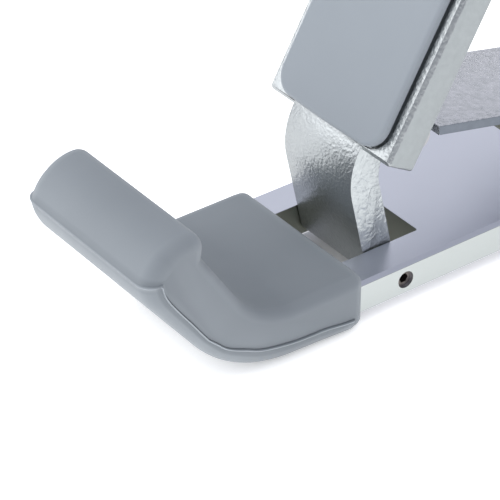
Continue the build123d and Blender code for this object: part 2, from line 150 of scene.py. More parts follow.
# ---- finishes -----------------------------------------------------------------------------------
@dataclass(frozen=True)
class Finish:
    """What a surface is made of and how it was made.

    Subclasses add their own pattern in `pattern`, which all read Object coordinates.
    """

    name: str
    slot: str
    colour: str
    roughness: float
    metallic: float = 0.0

    def material(self) -> bpy.types.Material:
        """Build the material once and give the same one to every piece.

        Returns:
            The finished material.
        """
        made = bpy.data.materials.get(self.name)
        if made:
            return made
        made = bpy.data.materials.new(self.name)
        made.use_nodes = True
        tree = made.node_tree
        tree.nodes.clear()
        place = add_node(tree, "TexCoord").outputs["Object"]
        shader = add_node(tree, "BsdfPrincipled", {
            "Base Color": linear(self.colour),
            "Roughness": self.roughness,
            "Metallic": self.metallic,
        })
        self.pattern(tree, shader, place)
        add_node(tree, "OutputMaterial", links={"Surface": shader.outputs[0]})
        return made

    def pattern(self, tree: bpy.types.NodeTree, shader: bpy.types.Node,
                place: bpy.types.NodeSocket) -> None:
        """Add the grain; a plain finish still has faint handling marks.

        Args:
            tree: The material's tree.
            shader: Its main shader.
            place: The coordinates.
        """
        self.mottle(tree, shader, place, size=9.0, light=self.colour, dark=self.colour)
        self.vary_roughness(tree, shader, place, size=4.0, spread=0.06)

    def mottle(self, tree: bpy.types.NodeTree, shader: bpy.types.Node,
               place: bpy.types.NodeSocket, size: float, light: str, dark: str,
               detail: float = 2.0) -> bpy.types.NodeSocket:
        """Vary the colour softly between two tones.

        Args:
            tree: The material's tree.
            shader: Its main shader.
            place: The coordinates.
            size: Width of a patch in millimetres.
            light: The lighter tone.
            dark: The darker tone.
            detail: Octaves of noise.

        Returns:
            The varied colour.
        """
        noise = add_node(tree, "TexNoise", {"Scale": per_metre(size), "Detail": detail},
                         {"Vector": place})
        tone = add_node(tree, "Mix", {"data_type": "RGBA", 6: linear(dark), 7: linear(light)},
                        {0: noise.outputs[0]})
        tree.links.new(tone.outputs[2], shader.inputs["Base Color"])
        return tone.outputs[2]

    def vary_roughness(self, tree: bpy.types.NodeTree, shader: bpy.types.Node,
                       place: bpy.types.NodeSocket, size: float, spread: float) -> None:
        """Let the roughness wander around its value.

        Args:
            tree: The material's tree.
            shader: Its main shader.
            place: The coordinates.
            size: Width of a patch in millimetres.
            spread: How far it wanders either way.
        """
        noise = add_node(tree, "TexNoise", {"Scale": per_metre(size), "Detail": 3.0},
                         {"Vector": place})
        rough = add_node(tree, "MapRange", {
            "To Min": self.roughness - spread,
            "To Max": self.roughness + spread,
        }, {0: noise.outputs[0]})
        tree.links.new(rough.outputs[0], shader.inputs["Roughness"])

    def bump(self, tree: bpy.types.NodeTree, shader: bpy.types.Node,
             height: bpy.types.NodeSocket, depth: float, strength: float = 1.0,
             before: bpy.types.NodeSocket | None = None) -> bpy.types.NodeSocket:
        """Raise the surface by a height pattern.

        Args:
            tree: The material's tree.
            shader: Its main shader.
            height: The pattern, from 0 to 1.
            depth: Its relief in millimetres.
            strength: How much of it shows.
            before: The normal of a bump below this one.

        Returns:
            The new normal.
        """
        links = {"Height": height}
        if before is not None:
            links["Normal"] = before
        node = add_node(tree, "Bump", {"Strength": strength, "Distance": depth * MM}, links)
        tree.links.new(node.outputs[0], shader.inputs["Normal"])
        return node.outputs[0]


@dataclass(frozen=True)
class MouldedSilicone(Finish):
    """Silicone from an etched mould: matt, faintly dusty, with an even skin.

    The eye gets a broad soft sheen and no sharp reflection, with a painted highlight, a lighter
    line along convex edges. The etch is about 0.1 mm, too fine to show, so it is drawn at
    0.35 mm. The painted highlight comes in above one pointiness and is full at a higher one.
    """

    etch: float = 0.35
    dust: str = "#83898e"
    # Painted highlight along convex edges: its colour, and the pointiness range where it comes in.
    edge_highlight: str = "#b9c0c5"
    highlight_from: float = 0.502
    highlight_full: float = 0.58
    highlight_share: float = 0.8

    def pattern(self, tree: bpy.types.NodeTree, shader: bpy.types.Node,
                place: bpy.types.NodeSocket) -> None:
        """Etched skin over slow changes of tone, with a painted highlight on convex edges.

        Args:
            tree: The material's tree.
            shader: Its main shader.
            place: The coordinates.
        """
        shader.inputs["Specular IOR Level"].default_value = 0.38
        shader.inputs["Sheen Weight"].default_value = 0.12
        shader.inputs["Sheen Roughness"].default_value = 0.5
        tone = self.mottle(tree, shader, place, size=14.0, light=self.dust, dark=self.colour)
        self.vary_roughness(tree, shader, place, size=6.0, spread=0.05)
        # Painted highlight: convex edges are lightened by their pointiness.
        edges = add_node(tree, "MapRange", {
            "From Min": self.highlight_from, "From Max": self.highlight_full, "To Max": self.highlight_share,
        }, {0: add_node(tree, "NewGeometry").outputs["Pointiness"]})
        edge_highlight = add_node(tree, "Mix", {"data_type": "RGBA", 7: linear(self.edge_highlight)},
                          {0: edges.outputs[0], 6: tone})
        tree.links.new(edge_highlight.outputs[2], shader.inputs["Base Color"])
        skin = add_node(tree, "TexNoise", {"Scale": per_metre(self.etch), "Detail": 2.0},
                        {"Vector": place})
        self.bump(tree, shader, skin.outputs[0], depth=0.02, strength=0.5)


@dataclass(frozen=True)
class AnodisedBar(Finish):
    """Aluminium flat bar, bead-blasted and clear anodised.

    The eye gets a clean, slightly lavender satin that spreads reflections evenly. Its slots are
    milled after blasting; their walls are painted darker, as painted shade in the slots, and its
    narrow sides get a darker neutral grey, as a painted reflection.
    Places are in metres: legs is the distance of the bars' centre lines from the middle.
    """

    bead: float = 0.3
    shade: str = "#cdd0da"
    # Painted shade: the slot walls' darker olive grey.
    slot_wall_shade: str = "#a9aca0"
    # Painted reflection: the narrow sides' darker neutral grey.
    edge: str = "#bcc1bf"
    legs: float = 0.0
    half_width: float = 0.0
    slot_half: float = 0.0
    slot_heights: tuple[float, float] = (0.0, 0.0)
    ends: tuple[float, float] = (0.0, 0.0)

    def pattern(self, tree: bpy.types.NodeTree, shader: bpy.types.Node,
                place: bpy.types.NodeSocket) -> None:
        """Bead-blast grain and faint changes of tone; a rail also has its slots and sides.

        Args:
            tree: The material's tree.
            shader: Its main shader.
            place: The coordinates.
        """
        self.vary_roughness(tree, shader, place, size=11.0, spread=0.03)
        grain = add_node(tree, "TexNoise", {"Scale": per_metre(self.bead), "Detail": 2.0},
                         {"Vector": place})
        self.bump(tree, shader, grain.outputs[0], depth=0.012, strength=0.35)
        colour = self.mottle(tree, shader, place, size=26.0, light=self.colour, dark=self.shade)
        if self.legs:
            self.machine(tree, shader, place, colour)

    def machine(self, tree: bpy.types.NodeTree, shader: bpy.types.Node,
                place: bpy.types.NodeSocket, colour: bpy.types.NodeSocket) -> None:
        """Paint shade on the slots' walls and a painted reflection, a darker neutral grey, on the
        narrow sides.

        Args:
            tree: The material's tree.
            shader: Its main shader.
            place: The coordinates.
            colour: The bar's own colour.
        """
        (low, high), (front, back) = self.slot_heights, self.ends
        # Painted shade on the slot walls.
        wall = box_mask(tree, place, (self.legs, self.slot_half),
                        ((front + back) / 2, (back - front) / 2 - SKIN),
                        ((low + high) / 2, (high - low) / 2))
        tone = add_node(tree, "Mix", {"data_type": "RGBA", 7: linear(self.slot_wall_shade)},
                        {0: wall, 6: colour})
        # Painted reflection: outside the top's width, the narrow sides take the darker neutral
        # grey.
        top = box_mask(tree, place, (self.legs, self.half_width))
        bar = add_node(tree, "Mix", {"data_type": "RGBA", 6: linear(self.edge)},
                       {0: top, 7: tone.outputs[2]})
        tree.links.new(bar.outputs[2], shader.inputs["Base Color"])


@dataclass(frozen=True)
class CastMetal(Finish):
    """Die-cast aluminium, shot-blasted and clear-coated.

    The eye gets a pebbled, glinting skin. A real shot mark is about half a millimetre across,
    too fine to show, so each is drawn at 0.6 to 0.9 mm. Where waves is set, shallow flow waves
    from the mould lie under them.
    """

    shot: float = 0.75
    relief: float = 0.09
    waves: float = 0.0
    shade: str = "#a6aaac"
    flow: float = 2.6

    def pattern(self, tree: bpy.types.NodeTree, shader: bpy.types.Node,
                place: bpy.types.NodeSocket) -> None:
        """Shot marks over mould waves.

        Args:
            tree: The material's tree.
            shader: Its main shader.
            place: The coordinates.
        """
        self.vary_roughness(tree, shader, place, size=1.2, spread=0.08)
        self.mottle(tree, shader, place, size=1.6, light=self.colour, dark=self.shade, detail=3.0)
        below = None
        if self.waves:
            flow = add_node(tree, "TexNoise", {
                "Scale": per_metre(self.flow), "Detail": 3.0, "Distortion": 1.4,
            }, {"Vector": place})
            below = self.bump(tree, shader, flow.outputs[0], depth=self.waves, strength=0.9)
        shots = add_node(tree, "TexNoise", {
            "Scale": per_metre(self.shot), "Detail": 1.5, "Roughness": 0.45,
        }, {"Vector": place})
        self.bump(tree, shader, shots.outputs[0], depth=self.relief, strength=0.9, before=below)


@dataclass(frozen=True)
class TurnedMetal(Finish):
    """Turned or ground metal, or acetal turned the same way, with its axis along X.

    The eye gets fine rings, which draw a highlight out into a streak.
    """

    pitch: float = 0.2

    def pattern(self, tree: bpy.types.NodeTree, shader: bpy.types.Node,
                place: bpy.types.NodeSocket) -> None:
        """Rings a pitch apart, and patches of wear.

        Args:
            tree: The material's tree.
            shader: Its main shader.
            place: The coordinates.
        """
        self.vary_roughness(tree, shader, place, size=0.8, spread=0.08)
        self.mottle(tree, shader, place, size=0.9, light=self.colour, dark=self.colour, detail=3.0)
        rings = add_node(tree, "TexWave", {
            "bands_direction": "X", "Scale": per_metre(self.pitch) / math.tau, "Distortion": 0.6,
        }, {"Vector": place})
        self.bump(tree, shader, rings.outputs[0], depth=0.01, strength=0.4)


SILICONE = MouldedSilicone("moulded_silicone_sleeve", "grey_silicone", "#7b8287", 0.56)
PAD_SILICONE = MouldedSilicone("moulded_silicone_pad", "grey_silicone", "#8a9298", 0.5,
                               dust="#90979e")
ANODISED = AnodisedBar("anodised_flat_bar", "anodised_aluminium", "#d3d6e0", 0.34, 1.0)
CAST_PLATE = CastMetal("die_cast_plate", "cast_aluminium", "#adb1b1", 0.38, 1.0, shot=0.65,
                       relief=0.15)
CAST_SIDE = CastMetal("die_cast_side", "cast_aluminium", "#a3a8a9", 0.42, 1.0, shot=0.9,
                      relief=0.03, waves=0.1, shade="#979c9d")
# Painted light: a lighter copy of the cast finish for the neck's sides, standing in for the bright
# floor they reflect.
CAST_NECK = CastMetal("neck_side_painted_light", "cast_aluminium", "#cdd2d2", 0.4, 1.0, shot=0.9,
                      relief=0.1, waves=0.45, shade="#b4b9ba")
CAST_PROP = CastMetal("shot_blasted_prop", "cast_aluminium", "#d8d8de", 0.27, 1.0, shot=0.8,
                      relief=0.26)
# Painted shade: a darker copy of the prop's finish for its sides.
PROP_SIDE_SHADE = CastMetal("prop_side_painted_shade", "cast_aluminium", "#7b8189", 0.45, 1.0, shot=0.6,
                         relief=0.03, shade="#6d737b")
GROUND_PIN = TurnedMetal("ground_steel_pin", "steel_pin", "#a9a9ab", 0.3, 1.0)
DARK_SCREW = TurnedMetal("black_oxide_screw", "dark_steel_screw", "#6d6763", 0.42, 1.0)
BRONZE = TurnedMetal("sintered_bronze_bush", "sintered_bronze", "#b08a55", 0.45, 1.0)
ACETAL = TurnedMetal("turned_black_acetal", "black_acetal", "#1c1c1e", 0.4)


# ---- drawing a side view ------------------------------------------------------------------------
@dataclass(frozen=True)
class Rim:
    """How a side view's outline is drawn in where the piece rounds over to its flat side.

    Headings are in degrees from +Y towards +Z, and lengths in millimetres.
    """

    heading: float
    inset: float
    reach: float
    proud: float = 0.0

    def towards(self, other: "Rim", share: float) -> "Rim":
        """The rim a share of the way from this one to another."""
        pairs = ((self.heading, other.heading), (self.inset, other.inset),
                 (self.reach, other.reach), (self.proud, other.proud))
        return Rim(*(a + (b - a) * share for a, b in pairs))

    def aimed(self, point: Vector, focus: tuple[float, float]) -> "Rim":
        """This rim, but drawn in almost to a focus that a tight corner shares."""
        y, z = focus[0] - point.y, focus[1] - point.z
        return Rim(math.degrees(math.atan2(z, y)), NEAR_FOCUS * math.hypot(y, z),
                   self.reach, 0.0)


@dataclass
class SideView:
    """A wire in the plane of a leg's side view, drawn stretch by stretch.

    Points are (y, z) in millimetres. Each vertex keeps the rim it is to be rounded with.
    """

    mesh: bmesh.types.BMesh
    start: tuple[float, float]
    rim: Rim
    verts: list[bmesh.types.BMVert] = field(default_factory=list)
    rims: list[Rim] = field(default_factory=list)

    def __post_init__(self) -> None:
        """Put down the first point."""
        made = bmesh.ops.create_vert(self.mesh, co=(0, *self.start))
        self.keep(made["vert"], [self.rim])

    def keep(self, verts: Iterable[bmesh.types.BMVert], rims: Iterable[Rim]) -> None:
        """Remember new points with their rims."""
        self.verts.extend(verts)
        self.rims.extend(rims)

    def aim(self, count: int, focus: tuple[float, float]) -> None:
        """Draw the rims of the last count points in towards one focus."""
        for i in range(len(self.verts) - count, len(self.verts)):
            self.rims[i] = self.rims[i].aimed(self.verts[i].co, focus)

    def line(self, end: tuple[float, float], steps: int = 1, rim: Rim | None = None) -> None:
        """Draw straight to a point.

        Args:
            end: Where it ends.
            steps: The number of edges.
            rim: The rim at its end; the rims between run evenly to it.
        """
        first, origin = self.rims[-1], self.verts[-1].co.copy()
        last = rim or first
        for i in range(1, steps + 1):
            made = bmesh.ops.extrude_vert_indiv(self.mesh, verts=[self.verts[-1]])
            made["verts"][0].co = origin.lerp(Vector((0, *end)), i / steps)
            self.keep(made["verts"], [first.towards(last, i / steps)])

    def arc(self, centre: tuple[float, float], turn: float, steps: int,
            rim: Rim | None = None) -> None:
        """Draw round a centre.

        Args:
            centre: The centre.
            turn: Degrees, positive from +Y towards +Z.
            steps: The number of edges.
            rim: The rim at its end.
        """
        first, count = self.rims[-1], len(self.mesh.verts)
        last = rim or first
        bmesh.ops.spin(self.mesh, geom=[self.verts[-1]], cent=(0, *centre), axis=(1, 0, 0),
                       angle=math.radians(turn), steps=steps)
        self.mesh.verts.ensure_lookup_table()
        made = self.mesh.verts[count:]
        self.keep(made, [first.towards(last, (i + 1) / steps) for i in range(steps)])

    def close(self) -> list[bmesh.types.BMEdge]:
        """Join the last point to the first.

        Returns:
            The closed outline's edges.
        """
        bmesh.ops.contextual_create(self.mesh, geom=[self.verts[-1], self.verts[0]])
        return list(self.mesh.edges)


def round_corner(corner: tuple[float, float], radius: float, heading: float,
                 turn: float) -> tuple[tuple[float, float], tuple[float, float]]:
    """Find the round that replaces a right-angled corner.

    Args:
        corner: The sharp corner.
        radius: The round's radius.
        heading: The direction that the outline arrives in, in degrees.
        turn: 90 or -90, the way it turns there.

    Returns:
        Where the round starts, and its centre.
    """
    along = Vector((math.cos(math.radians(heading)), math.sin(math.radians(heading))))
    start = Vector(corner) - along * radius
    side = Vector((-along.y, along.x)) * math.copysign(radius, turn)
    return tuple(start), tuple(start + side)


def finish_mesh(mesh: bmesh.types.BMesh, name: str, place: Matrix, sharp: float = 32.0
                ) -> bpy.types.Object:
    """Turn a bmesh in millimetres into an object with its place in its mesh.

    Args:
        mesh: The bmesh, which is freed.
        name: The new object's name.
        place: Where it goes, in metres, from its own millimetres.
        sharp: Edges that turn by more degrees than this stay sharp.

    Returns:
        The object, at the origin.
    """
    bmesh.ops.remove_doubles(mesh, verts=mesh.verts, dist=0.002)
    bmesh.ops.recalc_face_normals(mesh, faces=mesh.faces)
    for face in mesh.faces:
        face.smooth = True
    for edge in mesh.edges:
        if edge.calc_face_angle(0) > math.radians(sharp):
            edge.smooth = False
    bmesh.ops.transform(mesh, matrix=place @ Matrix.Scale(MM, 4), verts=mesh.verts)
    data = bpy.data.meshes.new(name)
    mesh.to_mesh(data)
    mesh.free()
    piece = bpy.data.objects.new(name, data)
    bpy.context.scene.collection.objects.link(piece)
    return piece


def cut_away(piece: bpy.types.Object, cutter: bpy.types.Object) -> None:
    """Cut one closed shape out of another and drop the cutter.

    Args:
        piece: What is cut.
        cutter: The shape taken away.
    """
    cut = piece.modifiers.new("cut", "BOOLEAN")
    cut.operation, cut.object, cut.solver = "DIFFERENCE", cutter, "EXACT"
    bpy.context.view_layer.update()
    graph = bpy.context.evaluated_depsgraph_get()
    before, name = piece.data, piece.name
    piece.data = bpy.data.meshes.new_from_object(piece.evaluated_get(graph))
    piece.data.name = name
    piece.modifiers.clear()
    bpy.data.objects.remove(cutter)
    bpy.data.meshes.remove(before)


class Leg(Enum):
    """The two legs; a value is the prefix of the leg's nodes."""

    LEFT = "left"
    RIGHT = "right"

    def node(self, part: str) -> str:
        """The name of one of this leg's CAD nodes."""
        return f"{self.value}_{part}"

    def middle(self) -> float:
        """X of the leg's centre line, in metres."""
        low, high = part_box(self.node("base_rail"))
        return (low.x + high.x) / 2


def show(piece: bpy.types.Object, finish: Finish, body: str, *nodes: str) -> None:
    """Dress a new piece, set it on its body and let it stand for its nodes.

    Args:
        piece: The new piece.
        finish: Its finish.
        body: The body it rides on.
        nodes: The CAD nodes it replaces.
    """
    piece.data.materials.clear()
    piece.data.materials.append(finish.material())
    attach(piece, body)
    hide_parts(*nodes)
    LOG.info("%s stands for %s, %d faces", piece.name, ", ".join(nodes), len(piece.data.polygons))


# ---- hook sleeve --------------------------------------------------------------------------------
@dataclass
class HookSleeve:
    """Silicone boot over a rail's hook: side walls, crowned lip and the mould's parting bead.

    The side view is drawn from the boot's back end on the desk, with Y towards the back.
    Each pair in parting is a share of the underside, from its back end to the lip's corner, and
    how far the bead lies inside the outline there. Each pair in bead_steps is a distance past
    the rim, in bead widths, and the height there, in beads. Just past the bead on the lip's
    corner the rim's inset is lip_step short of lip_rim, and top_rim is its inset and reach
    where the end face meets the crest. Down the back end the rims head straight in until
    foot_rise above the bead, and the bottom corner's rims meet at foot_focus, measured forwards
    from the back rim and up from the bead.
    """

    leg: Leg
    half_width: float = 21.8
    bend: float = -18.2
    bend_height: float = 29.4
    outer_radius: float = 29.4
    inner_radius: float = 16.6
    outer_turn: float = 51.6
    inner_turn: float = 56.5
    lip_run: float = 17.9
    tip_radius: float = 12.6
    tip_turn: float = 33.4
    corner_heading: float = 3.0
    crown_heading: float = -52.0
    crest: tuple[float, float] = (-40.5, 39.9)
    crest_radius: float = 3.4
    end_radius: float = 11.0
    kink_height: float = 33.6
    back_inset: float = 3.4
    back_reach: float = 3.0
    back_round: float = 1.6
    back_edge: float = 2.2
    rim: float = 2.7
    lower_reach: float = 4.4
    lip_rim: float = 4.0
    lip_step: float = 0.1
    top_rim: tuple[float, float] = (3.1, 3.5)
    foot_rise: float = 0.9
    foot_focus: tuple[float, float] = (0.05, 0.75)
    bead: float = 0.25
    bead_width: float = 0.3
    wall: float = 2.4
    side_wall: float = 1.8
    gap: float = 0.12
    metal_run: float = 17.7
    rings: int = 9
    bead_steps: tuple[tuple[float, float], ...] = (
        (0.4, 1.0), (1.0, 1.3), (1.35, 0.6), (1.5, -1.6), (1.8, -1.8), (2.0, -1.0),
    )
    parting: tuple[tuple[float, float], ...] = (
        (0.0, 3.1), (0.14, 4.1), (0.3, 4.6), (0.44, 4.2), (0.6, 2.9), (0.66, 2.4), (0.79, 2.8),
        (0.94, 3.3), (1.0, 3.3),
    )

    def at(self, radius: float, turn: float) -> tuple[float, float]:
        """The point on the hook's bend at a radius, some degrees of the way round."""
        angle = math.radians(-90 - turn)
        return (self.bend + radius * math.cos(angle), self.bend_height + radius * math.sin(angle))

    def parting_inset(self, share: float) -> float:
        """How far the parting bead lies inside the underside's outline.

        Args:
            share: The share of the way along the underside, from the back end.

        Returns:
            The inset, which runs smoothly between the given ones.
        """
        for (a, low), (b, high) in zip(self.parting, self.parting[1:]):
            if share <= b:
                t = (share - a) / (b - a)
                return low + (high - low) * t * t * (3 - 2 * t)
        return self.parting[-1][1]

    def outline(self, mesh: bmesh.types.BMesh) -> SideView:
        """Draw the boot's side view with the rim of every stretch.

        Args:
            mesh: The bmesh it is drawn in.

        Returns:
            The closed side view.
        """
        first = Rim(90, self.parting[0][1], self.back_reach, self.bead)
        view = SideView(mesh, (-self.back_inset, 0.0), first)
        view.line((self.bend, 0.0), 7, Rim(90, 0.0, self.lower_reach, self.bead))
        view.arc((self.bend, self.bend_height), -self.outer_turn, 22,
                 Rim(90 - self.outer_turn, 0.0, self.lower_reach, self.bead))
        heading = math.radians(180 - self.outer_turn)
        along = Vector((math.cos(heading), math.sin(heading)))
        start = Vector(self.at(self.outer_radius, self.outer_turn)) + along * self.lip_run
        view.line(tuple(start), 8, Rim(90 - self.outer_turn, 0.0, self.lip_rim, self.bead))
        centre = start + Vector((along.y, -along.x)) * self.tip_radius
        short = math.degrees(self.bead_width / self.tip_radius)
        view.arc(tuple(centre), short - self.tip_turn, 9,
                 Rim(self.corner_heading, 0.0, self.lip_rim, self.bead))
        angle = math.radians(180 + 90 - self.outer_turn - self.tip_turn)
        corner = centre + Vector((math.cos(angle), math.sin(angle))) * self.tip_radius
        self.inset_to_parting(view)
        self.end_face(view, corner)
        self.inner_side(view)
        view.close()
        return view

    def inset_to_parting(self, view: SideView) -> None:
        """Give each point of the underside the inset of the parting bead there.

        Args:
            view: The side view so far, up to the lip's corner.
        """
        runs = [0.0]
        for a, b in zip(view.verts, view.verts[1:]):
            runs.append(runs[-1] + (b.co - a.co).length)
        for i, run in enumerate(runs):
            old = view.rims[i]
            inset = self.parting_inset(run / runs[-1])
            view.rims[i] = Rim(old.heading, inset, old.reach, old.proud)

    def end_face(self, view: SideView, corner: Vector) -> None:
        """Draw the bead on the lip's corner, the crowned end face and the round of the crest.

        The end face is an arc through the corner that runs smoothly into the crest's round.

        Args:
            view: The side view so far, up to the lip's corner.
            corner: The lip's outer corner.
        """
        crest = Vector(self.crest) - Vector((self.crest_radius, self.crest_radius))
        across = crest - corner
        inner = self.end_radius - self.crest_radius
        along = (self.end_radius**2 - inner**2 + across.length_squared) / (2 * across.length)
        down = math.sqrt(self.end_radius**2 - along**2)
        u = across.normalized()
        centre = corner + u * along + Vector((u.y, -u.x)) * down
        out = (corner - centre).normalized()
        view.line(tuple(corner + out * self.bead), 1,
                  Rim(self.corner_heading, self.parting[-1][1], self.lip_rim, self.bead))
        tangent = Vector((out.y, -out.x))
        view.line(tuple(corner + tangent * self.bead_width), 1,
                  Rim(self.corner_heading, self.lip_rim - self.lip_step, self.lip_rim))
        start = math.degrees(math.atan2(out.y, out.x))
        end = math.degrees(math.atan2(crest.y - centre.y, crest.x - centre.x))
        begun = math.degrees(self.bead_width / self.end_radius)
        half = (start - begun - end) / 2
        view.arc(tuple(centre), -half, 8, Rim(self.crown_heading, self.lip_rim, self.lip_rim))
        view.arc(tuple(centre), -half, 8, Rim(end - 180, *self.top_rim))
        view.arc(tuple(crest), -end, 10, Rim(-180, self.rim, self.rim))

    def inner_side(self, view: SideView) -> None:
        """Draw the lip's inner face, the bed and the back end.

        Args:
            view: The side view so far, up to the crest.
        """
        inner_end = self.at(self.inner_radius, self.inner_turn)
        rise = math.tan(math.radians(self.inner_turn))
        kink_y = inner_end[0] - (self.kink_height - inner_end[1]) / rise
        view.line((kink_y, self.kink_height), 3, Rim(-170, self.rim, self.rim))
        view.line(inner_end, 6, Rim(-90 - self.inner_turn, self.rim, self.rim))
        view.arc((self.bend, self.bend_height), self.inner_turn, 18, Rim(-90, self.rim, self.rim))
        bed, back = self.bend_height - self.inner_radius, self.back_inset
        view.line((-back, bed), 7)
        start, centre = round_corner((0.0, bed), self.back_round, 0, -90)
        view.line(start, 2, Rim(-90, self.rim, self.back_reach))
        view.arc(centre, -90, 6)
        view.line((0.0, bed - back), 1)
        view.aim(9, (-self.back_reach, bed - self.rim))
        foot = self.parting[0][1]
        view.line((0.0, foot + self.foot_rise), 5)
        for i in range(len(view.rims) - 5, len(view.rims)):
            view.rims[i] = Rim(-180, self.back_reach, self.back_reach)
        view.line((0.0, self.back_edge), 1)
        view.arc((-self.back_edge, self.back_edge), -90, 6)
        forwards, above = self.foot_focus
        view.aim(7, (-self.back_reach - forwards, foot + above))

    def shell(self) -> bmesh.types.BMesh:
        """Round the outline over to both sides and close it.

        Returns:
            The closed boot, solid, in millimetres.
        """
        mesh = bmesh.new()
        view = self.outline(mesh)
        edges = list(mesh.edges)
        base = [vert.co.copy() for vert in view.verts]
        ring = {vert: i for i, vert in enumerate(view.verts)}
        plan = [(math.sin(a), math.cos(a)) for a in
                (math.pi / 2 * k / self.rings for k in range(self.rings + 1))]
        for out, stay in plan:
            edges, ring = self.push(mesh, edges, ring, base, view.rims, out, stay, 0.0, 0.0)
        for inward, lift in self.bead_steps:
            edges, ring = self.push(mesh, edges, ring, base, view.rims, 1.0, 0.0,
                                    inward * self.bead_width, lift)
        bmesh.ops.contextual_create(mesh, geom=edges)
        for edge in edges:
            edge.smooth = False
        bmesh.ops.mirror(mesh, geom=mesh.verts[:] + mesh.edges[:] + mesh.faces[:],
                         axis="X", merge_dist=0.001)
        return mesh

    def push(self, mesh: bmesh.types.BMesh, edges: list, ring: dict, base: list[Vector],
             rims: list[Rim], out: float, stay: float, inward: float, lift: float
             ) -> tuple[list, dict]:
        """Extrude the open ring once more and shape it.

        Args:
            mesh: The bmesh.
            edges: The ring's edges.
            ring: Its vertices, with their places in the outline.
            base: The outline's points.
            rims: The outline's rims.
            out: Share of the rim's reach that the ring has gained.
            stay: Share of the rim's inset that it hasn't lost yet.
            inward: Distance beyond the rim, over the flat side.
            lift: Share of the bead's height there.

        Returns:
            The new ring's edges and its vertices with their places.
        """
        made = bmesh.ops.extrude_edge_only(mesh, edges=edges)["geom"]
        fresh = {}
        for vert in (g for g in made if isinstance(g, bmesh.types.BMVert)):
            before = next(e.other_vert(vert) for e in vert.link_edges if e.other_vert(vert) in ring)
            i = ring[before]
            rim = rims[i]
            angle = math.radians(rim.heading)
            drawn_in = rim.inset * (1 - stay) + (inward if rim.proud else 0.0)
            x = self.half_width - self.bead + rim.proud * (1 + lift) - rim.reach * (1 - out)
            vert.co = base[i] + Vector((x, math.cos(angle) * drawn_in, math.sin(angle) * drawn_in))
            fresh[vert] = i
        return [g for g in made if isinstance(g, bmesh.types.BMEdge)
                and all(v in fresh for v in g.verts)], fresh

    def cavity(self) -> bmesh.types.BMesh:
        """The space that the rail fills, from the open back end round the hook.

        Returns:
            The closed cutter, in millimetres.
        """
        mesh = bmesh.new()
        outer = self.outer_radius - self.wall + self.gap
        inner = self.inner_radius + self.wall - self.gap
        view = SideView(mesh, (self.wall, self.bend_height - outer), Rim(0, 0, 0))
        view.line((self.bend, self.bend_height - outer))
        view.arc((self.bend, self.bend_height), -self.inner_turn, 22)
        tip = math.radians(180 - self.inner_turn)
        reach = Vector((math.cos(tip), math.sin(tip))) * self.metal_run
        view.line(tuple(Vector(self.at(outer, self.inner_turn)) + reach))
        view.line(tuple(Vector(self.at(inner, self.inner_turn)) + reach))
        view.line(self.at(inner, self.inner_turn))
        view.arc((self.bend, self.bend_height), self.inner_turn, 18)
        view.line((self.wall, self.bend_height - inner))
        face = bmesh.ops.contextual_create(mesh, geom=view.close())["faces"]
        half = self.half_width - self.side_wall + self.gap
        bmesh.ops.translate(mesh, verts=mesh.verts, vec=(-half, 0, 0))
        made = bmesh.ops.extrude_face_region(mesh, geom=face)["geom"]
        bmesh.ops.translate(mesh, vec=(2 * half, 0, 0),
                            verts=[g for g in made if isinstance(g, bmesh.types.BMVert)])
        return mesh

    def build(self) -> None:
        """Make the boot, cut its cavity and set it on the rail."""
        node = self.leg.node("hook_sleeve")
        low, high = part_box(node)
        place = Matrix.Translation((self.leg.middle(), high.y, low.z))
        piece = finish_mesh(self.shell(), self.leg.node("silicone_hook_boot"), place,
                            sharp=40.0)
        cutter = finish_mesh(self.cavity(), "cutter", place)
        cut_away(piece, cutter)
        show(piece, SILICONE, "base", node)


